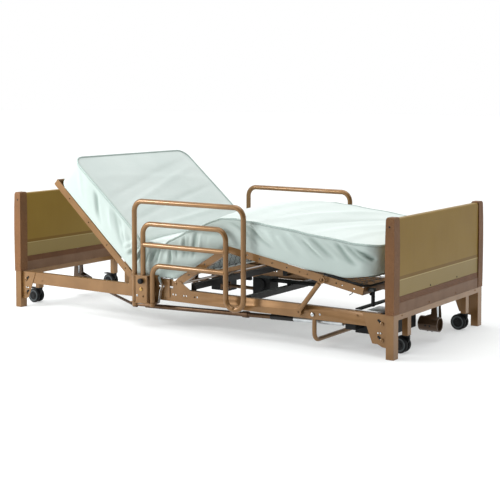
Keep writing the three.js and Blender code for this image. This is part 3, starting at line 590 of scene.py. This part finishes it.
def flat_mattress():
    """The mattress lying flat, as a closed bmesh of (x, y, height) with its folds pressed in."""
    columns = [HEAD_END + (FOOT_END - HEAD_END) * i / 300 for i in range(301)]
    rows = [-HALF_WIDTH + 2 * HALF_WIDTH * j / 44 for j in range(45)]
    last_i, last_j = len(columns) - 1, len(rows) - 1
    folds = {-1: side_folds(-1), 1: side_folds(1)}
    mesh = bmesh.new()
    pressed = mesh.verts.layers.float.new("fold")

    def outline(i, j, out):
        """A grid point, with the square corner drawn in to a round one, and moved outward."""
        x, y = columns[i], rows[j]
        cx = min(max(x, HEAD_END + CORNER), FOOT_END - CORNER)
        cy = min(max(y, -HALF_WIDTH + CORNER), HALF_WIDTH - CORNER)
        a, b = x - cx, y - cy
        if a and b:
            pull = max(abs(a), abs(b)) / math.hypot(a, b)
            a, b = a * pull, b * pull
        if out and (i in (0, last_i) or j in (0, last_j)):
            if a and b:
                direction = Vector((a, b)).normalized()
            elif j in (0, last_j) and i not in (0, last_i):
                direction = Vector((0, -1 if j == 0 else 1))
            else:
                direction = Vector((-1 if i == 0 else 1, 0))
            a, b = a + direction.x * out, b + direction.y * out
        return cx + a, cy + b

    def crown(x, y):
        across = 1 - abs(y / HALF_WIDTH) ** 2.6
        lengthwise = min((x - HEAD_END) / 0.16, (FOOT_END - x) / 0.16, 1.0)
        return along(CROWN, x) * across * math.sin(max(lengthwise, 0.0) * math.pi / 2)

    upper = {(i, j): None for i in range(last_i + 1) for j in range(last_j + 1)}
    lower = dict(upper)
    for i, j in upper:
        x, y = outline(i, j, -0.004)
        upper[i, j] = mesh.verts.new((x, y, along(TOP, x) - 0.0015 + crown(x, y) + top_ripple(x, y)))
        upper[i, j][pressed] = top_ripple(x, y)
        x, y = outline(i, j, -EDGE)
        lower[i, j] = mesh.verts.new((x, y, along(UNDER, x)))
    for i in range(last_i):
        for j in range(last_j):
            square = [(i, j), (i + 1, j), (i + 1, j + 1), (i, j + 1)]
            mesh.faces.new([upper[key] for key in square])
            mesh.faces.new([lower[key] for key in reversed(square)])

    rim = ([(i, 0) for i in range(last_i)] + [(last_i, j) for j in range(last_j)]
           + [(i, last_j) for i in range(last_i, 0, -1)] + [(0, j) for j in range(last_j, 0, -1)])
    # (kind, rise, outward): the curled lower edge, the wall by shares of its height, and the piping
    curl = [(EDGE * (1 - math.cos(a)), -EDGE * (1 - math.sin(a))) for a in (0.4, 0.8, 1.2)]
    levels = [("edge", rise, out) for rise, out in curl]
    levels += [("wall", k / 24, 0.0) for k in range(1, 24)]
    levels += [("bead", rise, out) for rise, out in ((-1.6, -0.5), (-0.9, 0.7), (0.0, 1.2), (0.8, 0.6),
                                                     (0.6, -0.4))]
    rings = []
    for kind, value, out in levels:
        ring = []
        for i, j in rim:
            x, y = outline(i, j, 0.0)
            base, top = along(UNDER, x), along(TOP, x)
            wall, depth = top - base - EDGE, 0.0
            if kind == "edge":
                height, push = base + value, out
            elif kind == "wall":
                height = base + EDGE + wall * value
                push = 0.006 * math.sin(math.pi * value)
                if j in (0, last_j):
                    depth = fold_depth(folds[-1 if j == 0 else 1], x, value)
                else:
                    depth = 0.0022 * math.sin(y * 61 + 5 * value) * math.sin(math.pi * value)
                push += depth
            else:
                height, push = top + value * BEAD, out * BEAD
            px, py = outline(i, j, push if push else 1e-6)
            ring.append(mesh.verts.new((px, py, height)))
            ring[-1][pressed] = depth
        rings.append(ring)
    shells = [[lower[key] for key in rim], *rings, [upper[key] for key in rim]]
    welt = len(shells) - 6
    for level, (inner, outer) in enumerate(zip(shells, shells[1:])):
        for k in range(len(rim)):
            n = (k + 1) % len(rim)
            face = mesh.faces.new((inner[k], inner[n], outer[n], outer[k]))
            face.material_index = 1 if level > welt else 2 if level else 0
    return mesh


def mattress_piece(name, whole, low, high, covers):
    """The stretch of the flat mattress from low to high, closed where it was cut, then bent to the pose."""
    mesh = whole.copy()
    for place, direction in ((low, -1), (high, 1)):
        if place is None:
            continue
        everything = mesh.verts[:] + mesh.edges[:] + mesh.faces[:]
        done = bmesh.ops.bisect_plane(mesh, geom=everything, dist=1e-6, plane_co=(place, 0, 0),
                                      plane_no=(direction, 0, 0), clear_outer=True)
        rim = [item for item in done["geom_cut"] if isinstance(item, bmesh.types.BMEdge)]
        cap = bmesh.ops.edgeloop_fill(mesh, edges=rim)["faces"]
        for face in cap:
            for edge in face.edges:
                edge.smooth = False
    bmesh.ops.recalc_face_normals(mesh, faces=mesh.faces)
    for vertex in mesh.verts:
        vertex.co = bent(*vertex.co)
    for face in mesh.faces:
        face.smooth = True
    data = bpy.data.meshes.new(name)
    mesh.to_mesh(data)
    mesh.free()
    for material in covers:
        data.materials.append(material)
    obj = bpy.data.objects.new(name, data)
    bpy.context.scene.collection.objects.link(obj)
    return obj


def make_mattress(*covers):
    whole = flat_mattress()
    back = mattress_piece("mattress_back_part", whole, None, SPLITS[0], covers)
    seat = mattress_piece("mattress_seat_part", whole, SPLITS[0], SPLITS[1], covers)
    foot = mattress_piece("mattress_foot_part", whole, SPLITS[1], None, covers)
    whole.free()
    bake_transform(back)
    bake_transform(seat)
    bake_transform(foot)
    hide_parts("mattress_back")
    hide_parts("mattress_seat", "mattress_thigh")
    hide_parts("mattress_foot")


# ---------------------------------------------------------------- spring fabric
def deck_frame(x, slope):
    """The matrix from a deck section's own (along, across, above) to the pose."""
    turn = Matrix.Rotation(-slope, 4, "Y")
    return Matrix.Translation(deck_point(x)) @ turn


def spring_fabric(name, start, end, origin, slope, body, node, wire):
    """Diamond links between two border wires, hooked to the frame by small coils at both ends."""
    half, pitch, length, radius = 0.404, 0.0218, 0.046, 0.0011
    matrix = deck_frame(origin, slope)
    coil = 0.018
    runs = []
    strands = int(2 * half / pitch)
    span = end - start - 2 * coil
    periods = max(2, round(span / length))
    for k in range(strands + 1):
        y = -half + k * 2 * half / strands
        phase = math.pi * (k % 2)
        run = []
        for step in range(periods * 4 + 1):
            share = step / (periods * 4)
            swing = 0.5 * pitch * math.cos(2 * math.pi * periods * share + phase)
            swing = max(min(swing, half - y), -half - y)
            run.append(matrix @ Vector((start + coil + span * share, y + swing, SPRING_HEIGHT)))
        runs.append(run)
    for s in (start + coil, end - coil):
        runs.append([matrix @ Vector((s, y, SPRING_HEIGHT)) for y in (-half, half)])
    fabric = curve_piece(name, runs, radius, wire, sides=1)
    coils = []
    for s, away in ((start + coil, -1), (end - coil, 1)):
        for k in range(0, strands + 1, 3):
            y = -half + k * 2 * half / strands
            coils.append([matrix @ Vector((s + away * coil * t / 20, y + 0.0032 * math.cos(1.3 * t),
                                           SPRING_HEIGHT + 0.0026 * math.sin(1.3 * t))) for t in range(21)])
    ends = curve_piece(name + "_coils", coils, 0.0008, wire, sides=1)
    for piece in (fabric, ends):
        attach(piece, body)
    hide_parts(node)


def make_springs(wire):
    spring_fabric("back_link_springs", -0.652, -0.056, BACK_X, -BACK_UP, "back_rest", "back_springs", wire)
    spring_fabric("seat_link_springs", 0.046, 0.219, BACK_X, 0.0, "frame", "seat_springs", wire)
    spring_fabric("thigh_link_springs", 0.056, 0.308, THIGH_X, THIGH_UP, "thigh_rest", "thigh_springs", wire)
    spring_fabric("foot_link_springs", 0.058, 0.692, KNEE_X, -FOOT_DOWN, "foot_rest", "foot_springs", wire)


# ---------------------------------------------------------------- assist rails and tubes
def make_assist_rail(side, paint):
    y = RAIL_Y * SIGN[side]
    x = {"leg": -0.2775, "second": -0.2245, "third": -0.1675, "right": 0.3635, "inner": 0.2645}
    x = {name: value + SHIFT for name, value in x.items()}
    corners = (("leg", 0.096), ("leg", 0.607), ("right", 0.607), ("right", 0.1365), ("inner", 0.1365),
               ("inner", 0.500), ("second", 0.500), ("second", 0.206))
    hoop = rounded([(x[name], y, z) for name, z in corners], 0.0494)
    middle = [(x["second"], y, 0.398), (x["inner"], y, 0.398)]
    lower = rounded([(x["third"], y, 0.102), (x["third"], y, 0.302), (x["inner"], y, 0.302)], 0.050)
    rail = curve_piece(f"{side}_bent_rail", [hoop, middle, lower], TUBE, paint, sides=6)
    beads = []
    for place_x, place_z, out in ((x["second"], 0.398, 1), (x["inner"], 0.398, -1), (x["inner"], 0.302, -1)):
        ring = []
        for k in range(17):
            angle = 2 * math.pi * k / 16
            reach = out * math.sqrt(max(TUBE ** 2 - (TUBE * math.cos(angle) * 0.98) ** 2, 0)) * 1.02
            ring.append((place_x + reach, y + TUBE * math.cos(angle), place_z + TUBE * math.sin(angle)))
        beads.append(ring)
    welds = curve_piece(f"{side}_rail_welds", beads, 0.0017, paint, sides=2)
    for piece in (rail, welds):
        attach(piece, f"{side}_assist_rail")
    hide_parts(f"{side}_assist_rail")


def make_transport_stand(paint):
    x, y = SHIFT + STAND_X, 0.4312
    path = rounded([(x, -y, 0.165), (x, -y, 0.033), (x, y, 0.033), (x, y, 0.165)], 0.036)
    stand = curve_piece("bent_stand", [path], 0.0102, paint, sides=6)
    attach(stand, "frame")
    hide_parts("transport_stand")


# ---------------------------------------------------------------- casters and knobs
def make_wheels(corner, x, y, tyre, ring, hub):
    """Twin discs with a grey ring and a dished hub, on one axle."""
    inner, outer, radius = 0.0076, 0.0248, 0.0374
    disc = [(0.0085, inner, 2), (0.024, inner, 2), (0.0295, inner + 0.0006, 0), (radius - 0.003, inner, 0),
            (radius - 0.0006, inner + 0.002, 0), (radius, inner + 0.006, 0), (radius, outer - 0.006, 0),
            (radius - 0.001, outer - 0.0022, 0), (radius - 0.0035, outer - 0.0004, 0), (0.0300, outer, 1),
            (0.0292, outer - 0.0010, 1), (0.0235, outer - 0.0006, 1), (0.0228, outer - 0.0026, 2),
            (0.0120, outer - 0.0046, 2), (0.0106, outer - 0.0010, 2), (0.0060, outer - 0.0004, 2),
            (0.0020, outer - 0.0003, 2)]
    mirrored = [(r, -a, kind) for r, a, kind in reversed(disc)]
    for k in range(len(mirrored) - 1):        # a face takes its first ring's material
        mirrored[k] = (*mirrored[k][:2], mirrored[k + 1][2])
    profile = mirrored + disc
    wheel = turned(f"{corner}_wheel_pair", profile, (tyre, ring, hub))
    wheel.location = (x, y, 0.038)
    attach(wheel, f"{corner}_wheels")
    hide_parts(f"{corner}_caster_wheels")


def make_knob(side, black, steel):
    """A plunger with a ribbed knob."""
    sign = SIGN[side]
    vertices, faces, segments = [], [], 48
    profile = [(0.0049, 0.5037), (0.0049, 0.5098), (0.0108, 0.5102), (0.0124, 0.512), (0.0128, 0.518),
               (0.0132, 0.524), (0.0118, 0.5270), (0.0070, 0.5280), (0.0010, 0.5280)]
    for index, (radius, reach) in enumerate(profile):
        for k in range(segments):
            angle = 2 * math.pi * k / segments
            grip = 0.0007 * math.cos(angle * 12) if 3 <= index <= 5 else 0.0
            out = radius + grip
            vertices.append((out * math.cos(angle), sign * reach, out * math.sin(angle)))
    for i in range(len(profile) - 1):
        for k in range(segments):
            a, b = i * segments + k, i * segments + (k + 1) % segments
            faces.append((a, b, b + segments, a + segments))
    faces += [tuple(range(segments)), tuple((len(profile) - 1) * segments + k for k in range(segments))]
    knob = new_object(f"{side}_ribbed_knob", vertices, faces, black, steel)
    for face in knob.data.polygons[:segments]:
        face.material_index = 1
    fix_normals(knob)
    shade_smooth(knob, 40)
    knob.location = (SHIFT + KNOB[0], 0, KNOB[1])
    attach(knob, f"{side}_rail_knob")
    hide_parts(f"{side}_rail_knob")


# ---------------------------------------------------------------- small fittings
def screw(name, place, axis, radius, body, material, height=0.0016):
    """A domed screw head with a round recess, on a face that looks along axis."""
    profile = [(radius, 0.0, 0), (radius * 0.96, height * 0.5, 0), (radius * 0.7, height * 0.9, 0),
               (radius * 0.34, height, 0), (radius * 0.28, height * 0.35, 0),
               (radius * 0.02, height * 0.35, 0)]
    head = turned(name, profile, (material,), 20, 35)
    head.rotation_mode = "QUATERNION"
    head.rotation_quaternion = Vector((0, 1, 0)).rotation_difference(Vector(axis))
    head.location = place
    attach(head, body)
    return head


def make_end_fittings(materials):
    """Screws and plugs on both faces of the two bed ends, and black discs as painted shade in the hook slots.
    """
    for end, way in WAY.items():
        outer = SHIFT + way * (POST_X + 0.0166)
        skirt = SHIFT + way * (POST_X + 0.0186)
        channel = SHIFT + way * (POST_X + 0.0185)
        for k, y in enumerate((-0.105, 0.176)):
            screw(f"{end}_panel_screw_{k}", (outer, y, 0.274), (way, 0, 0), 0.0042, "frame",
                  materials["black_plastic"])
            screw(f"{end}_skirt_screw_{k}", (skirt, y - 0.015, 0.200), (way, 0, 0), 0.0048, "frame",
                  materials["brown_moulding"], 0.0022)
        for k, y in enumerate((-0.383, 0.383)):
            screw(f"{end}_channel_screw_{k}", (channel, y, 0.181), (way, 0, 0), 0.0042, "frame",
                  materials["bronze_paint"], 0.0022)
        for side, sign in SIGN.items():
            corner = f"{side}_{end}"
            out = (0, sign, 0)
            screw(f"{corner}_cover_screw", (SHIFT + way * (POST_X - 0.002), sign * 0.4655, 0.566), out,
                  0.0044, "frame", materials["black_plastic"], 0.0008)
            for k, z in enumerate(HOOK_HEIGHTS):
                screw(f"{corner}_rivet_{k}", (SHIFT + way * HOOK_X, sign * (CORNER_FACE + 0.0005), z), out,
                      0.0088, "frame", materials["bronze_paint"], 0.003)
                # black discs up and back from each rivet: painted shade in the hook slots
                for step, (back, up) in enumerate(((0.017, 0.014), (0.011, 0.009))):
                    place = (SHIFT + way * (HOOK_X - back), sign * CORNER_FACE, z + up)
                    screw(f"{corner}_notch_{k}_{step}", place, out, 0.0052, "frame",
                          materials["black_plastic"], 0.0006)
            for k, reach in enumerate((1.034, 1.046)):
                screw(f"{corner}_pin_{k}", (SHIFT + way * reach, sign * CORNER_FACE, 0.107), out, 0.0034,
                      "frame", materials["zinc_plate"])


def make_bracket_fittings(side, materials):
    """A bent zinc guard, a brass catch and a bright screw on an assist rail's bracket."""
    sign = SIGN[side]
    x0 = SHIFT - 0.147
    path = [(0.0, 0.247), (0.004, 0.232), (0.018, 0.213), (0.022, 0.203), (0.012, 0.180), (0.006, 0.150),
            (0.000, 0.128), (-0.002, 0.118)]
    vertices, faces = [], []
    for step, (dx, z) in enumerate(path):
        width = 0.0068 + 0.0022 * math.sin(math.pi * step / (len(path) - 1))
        for dy, dz in ((-width, 0), (width, 0)):
            for thick in (0.0, 0.0022):
                vertices.append((x0 + dx + thick, sign * (0.4668 + dy), z + dz))
    for step in range(len(path) - 1):
        a = 4 * step
        for p, q in ((0, 1), (1, 3), (3, 2), (2, 0)):
            faces.append((a + p, a + q, a + 4 + q, a + 4 + p))
    faces += [(0, 2, 3, 1), tuple(4 * (len(path) - 1) + k for k in (0, 1, 3, 2))]
    guard = new_object(f"{side}_zinc_guard", vertices, faces, materials["zinc_plate"])
    fix_normals(guard)
    shade_smooth(guard, 35)
    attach(guard, "frame")
    face = sign * BRACKET_FACE
    catch = screw(f"{side}_brass_catch", (SHIFT - 0.222, face, 0.184), (0, sign, 0), 0.0085, "frame",
                  materials["brass"], 0.006)
    screw(f"{side}_bracket_screw", (SHIFT - 0.246, face, 0.152), (0, sign, 0), 0.0055, "frame",
          materials["zinc_plate"], 0.003)


def make_rail_fittings(side, materials):
    """Bolt heads along a side rail."""
    sign = SIGN[side]
    face = sign * RAIL_FACE
    bolts = ((0.742, 0.155, 0.0045), (-0.240, 0.150, 0.005), (-0.165, 0.150, 0.005), (-0.940, 0.150, 0.006),
             (0.930, 0.172, 0.004))
    for k, (x, z, radius) in enumerate(bolts):
        lift = 0.0015 if -0.2 > x > -0.26 else 0.0
        screw(f"{side}_rail_bolt_{k}", (SHIFT + x, face - sign * lift, z), (0, sign, 0), radius, "frame",
              materials["zinc_plate"] if k == 0 else materials["bronze_paint"], 0.003)
    for name, x, z, reach, look in (("stand", SHIFT + STAND_X, 0.151, 0.4502, "zinc_plate"),
                                    ("hinge", BACK_X, PIVOT_Z, RAIL_FACE, "bronze_paint"),
                                    ("thigh", THIGH_X, PIVOT_Z, RAIL_FACE, "bronze_paint")):
        screw(f"{side}_{name}_pivot", (x, sign * reach, z), (0, sign, 0), 0.0085, "frame",
              materials[look], 0.003)


def make_shaft_sleeves(materials):
    """The long shaft's outer tube, its collar, and the black and the bright lengths past it."""
    (low_x, low_z), (high_x, high_z) = SHAFT

    def at(x):
        """The shaft's centre at a place along the bed."""
        return Vector((SHIFT + x, SHAFT_Y, low_z + (high_z - low_z) * (x - low_x) / (high_x - low_x)))

    for name, start, end, radius, look in (
            ("tube", -0.28, 0.320, 0.0112, "shaft_steel"), ("collar", 0.300, 0.332, 0.0150, "shaft_steel"),
            ("black", 0.456, 0.580, 0.0125, "black_paint"), ("bright", 0.580, 0.835, 0.0118, "zinc_plate")):
        sleeve = curve_piece(f"shaft_{name}", [[at(start), at(end)]], radius, materials[look], sides=5)
        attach(sleeve, "drive_shaft")


def make_foot_bar(black, wire):
    """The round bar that holds the mattress's foot end, and a wire hook below each side."""
    matrix = deck_frame(KNEE_X, -FOOT_DOWN)
    start, end, half, height = 0.52, 0.7345, 0.432, 0.0226
    path = rounded([(start, -half, height), (end, -half, height), (end, half, height),
                    (start, half, height)], 0.05)
    bar = curve_piece("foot_retainer_bar", [[matrix @ point for point in path]], 0.005, black, sides=4)
    hooks = []
    for sign in (-1, 1):
        drop = rounded([(0.6575, sign * 0.404, -0.017), (0.6575, sign * 0.404, -0.032),
                        (0.6465, sign * 0.410, -0.042)], 0.004)
        hooks.append([matrix @ point for point in drop])
    hanging = curve_piece("foot_wire_hooks", hooks, 0.0019, wire, sides=3)
    for piece in (bar, hanging):
        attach(piece, "foot_rest")


def block(name, x, y, z, material, body, bevel=0.0012):
    """A small box with rounded edges between the ends of three spans."""
    corners = [(a, b, c) for a in x for b in y for c in z]
    faces = [(0, 1, 3, 2), (4, 6, 7, 5), (0, 4, 5, 1), (2, 3, 7, 6), (0, 2, 6, 4), (1, 5, 7, 3)]
    obj = new_object(name, corners, faces, material)
    mesh = bmesh.new()
    mesh.from_mesh(obj.data)
    bmesh.ops.recalc_face_normals(mesh, faces=mesh.faces)
    bmesh.ops.bevel(mesh, geom=mesh.edges[:], offset=bevel, segments=2, profile=0.5, affect="EDGES")
    mesh.to_mesh(obj.data)
    mesh.free()
    shade_smooth(obj, 50)
    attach(obj, body)
    return obj


def make_foot_corner(materials):
    """A plate and a black cross bar on the frame, and a clamped strap that hangs from the deck's end."""
    x = SHIFT
    block("corner_plate", (x + 0.958, x + 1.030), (-0.416, -0.300), (0.1905, 0.1935),
          materials["zinc_plate"], "frame")
    block("corner_bar", (x + 0.903, x + 0.934), (-0.416, 0.416), (0.1905, 0.1965),
          materials["black_paint"], "frame")
    block("corner_strap", (x + 0.972, x + 0.985), (-0.402, -0.386), (0.207, 0.278),
          materials["black_plastic"], "foot_rest", 0.003)
    block("corner_clamp", (x + 0.956, x + 0.989), (-0.406, -0.382), (0.272, 0.287), materials["spring_wire"],
          "foot_rest", 0.004)
    for k, (dx, z) in enumerate(((-0.006, 0.262), (0.006, 0.250))):
        screw(f"corner_lug_{k}", (x + 0.978 + dx, -0.402, z), (0, -1, 0), 0.006, "foot_rest",
              materials["black_plastic"], 0.006)


def make_gearbox_fittings(materials):
    """Pairs of dark screws round the foot gearbox and the head one."""
    for end, way in WAY.items():
        for k, degrees in enumerate((-8, 62, -78, 188, 118)):
            angle = math.radians(degrees)
            out = Vector((0, -math.cos(angle), math.sin(angle)))
            for step, along_x in enumerate((1.052, 1.074)):
                place = Vector((SHIFT + way * along_x, 0, GEARBOX_Z)) + GEARBOX_RADIUS * out
                screw(f"{end}_gearbox_screw_{k}_{step}", place, out, 0.0042, "frame",
                      materials["black_plastic"], 0.002)


# ---------------------------------------------------------------- surroundings
def sky():
    """A pale room, white behind the bed and darker in front of it and past its foot end."""
    world = bpy.data.worlds.new("room")
    world.use_nodes = True
    links = world.node_tree.links
    behind = add_node(world, "VectorMath")
    behind.operation = "DOT_PRODUCT"
    behind.inputs[1].default_value = (-0.75, 0.66, 0.25)
    links.new(add_node(world, "TexCoord").outputs["Generated"], behind.inputs[0])
    share = add_node(world, "MapRange", Value=behind.outputs["Value"], From_Min=-0.75, From_Max=0.30)
    colours = ramp(world, share.outputs["Result"], [(0.0, (0.09, 0.10, 0.10)), (1.0, (1.0, 1.0, 1.0))])
    background = world.node_tree.nodes["Background"]
    background.inputs["Strength"].default_value = 1.0
    links.new(colours, background.inputs["Color"])
    bpy.context.scene.world = world


def area_light(name, place, target, size, power):
    data = bpy.data.lights.new(name, "AREA")
    data.shape = "SQUARE"
    data.size = size
    data.energy = power
    light = bpy.data.objects.new(name, data)
    light.location = place
    light.rotation_euler = (Vector(target) - Vector(place)).to_track_quat("-Z", "Y").to_euler()
    bpy.context.scene.collection.objects.link(light)


def daylight(toward, spread, strength):
    """A very soft sun, in the direction toward, so that the floor is evenly bright."""
    data = bpy.data.lights.new("daylight", "SUN")
    data.angle = math.radians(spread)
    data.energy = strength
    light = bpy.data.objects.new("daylight", data)
    light.rotation_euler = Vector(toward).to_track_quat("Z", "Y").to_euler()
    bpy.context.scene.collection.objects.link(light)


def make_floor():
    half = 40.0
    material, principled = shader("floor", 0.9, Emission_Color=(1.0, 1.0, 1.0, 1.0), Emission_Strength=0.40,
                                  Specular_IOR_Level=0.1)
    colour_to(material, principled,
              two_tone(material, 3, 2, (0.52, 0.535, 0.535), (0.54, 0.555, 0.555)))
    floor = new_object("floor", [(-half, -half, 0), (half, -half, 0), (half, half, 0), (-half, half, 0)],
                       [(0, 1, 2, 3)], material)


def make_camera():
    turn, tilt = 0.59808, math.radians(3.007)
    view = Vector((-math.sin(turn) * math.cos(tilt), math.cos(turn) * math.cos(tilt), -math.sin(tilt)))
    data = bpy.data.cameras.new("camera")
    data.lens = 85.427
    data.sensor_width = 36.0
    data.shift_y = -0.19928
    data.clip_end = 200.0
    camera = bpy.data.objects.new("camera", data)
    camera.location = (3.42684, -4.90103, 1.15133)
    camera.rotation_euler = view.to_track_quat("-Z", "Y").to_euler()
    bpy.context.scene.collection.objects.link(camera)
    bpy.context.scene.camera = camera


# ---------------------------------------------------------------- scene
def paint_frame(frame, materials):
    """Gives every carried-over CAD node its procedural material and rounded edges."""
    slots = {row["node"]: row["material_slot"] for row in frame["record"]["subparts"]}
    widths = {"tan_panel": 0.0025, "brown_moulding": 0.0028, "brown_skirt": 0.0010, "black_plastic": 0.0022}
    # The gearboxes take a darker copy of the bronze as painted shade; the two rods take the darker shaft
    # steel in place of their zinc slot.
    darker = {"foot_gearbox": "bronze_painted_shade", "head_gearbox": "bronze_painted_shade", "back_rod": "shaft_steel",
              "knee_rod": "shaft_steel"}
    for name, node in frame["nodes"].items():
        slot = slots[name]
        node.data.materials.clear()
        node.data.materials.append(materials[darker.get(name, slot)])
        soften(node, widths.get(slot, 0.0009))


def main():
    for obj in list(bpy.data.objects):
        bpy.data.objects.remove(obj)
    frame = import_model()
    make_camera()
    bpy.context.scene.view_settings.view_transform = "Standard"
    materials = {name: make() for name, make in MATERIALS.items()}
    paint_frame(frame, materials)
    make_mattress(materials["mattress_cover"], materials["mattress_piping_and_shade"], materials["mattress_border_and_shade"])
    make_springs(materials["spring_wire"])
    for side, sign in SIGN.items():
        make_assist_rail(side, materials["bronze_paint"])
        make_knob(side, materials["black_plastic"], materials["zinc_plate"])
        make_bracket_fittings(side, materials)
        make_rail_fittings(side, materials)
        for end, way in WAY.items():
            make_wheels(f"{side}_{end}", SHIFT + way * POST_X - CASTER_TRAIL, sign * CASTER_Y,
                        materials["caster_rubber"], materials["caster_ring"], materials["black_plastic"])
    make_transport_stand(materials["bronze_paint"])
    make_end_fittings(materials)
    make_gearbox_fittings(materials)
    make_shaft_sleeves(materials)
    make_foot_bar(materials["black_paint"], materials["spring_wire"])
    make_foot_corner(materials)
    make_floor()
    sky()
    daylight((-0.10, -0.03, 1.0), 55, 1.75)
    area_light("left_fill", (-1.6, -2.0, 1.3), (-0.7, -0.46, 0.50), 0.8, 46)


main()
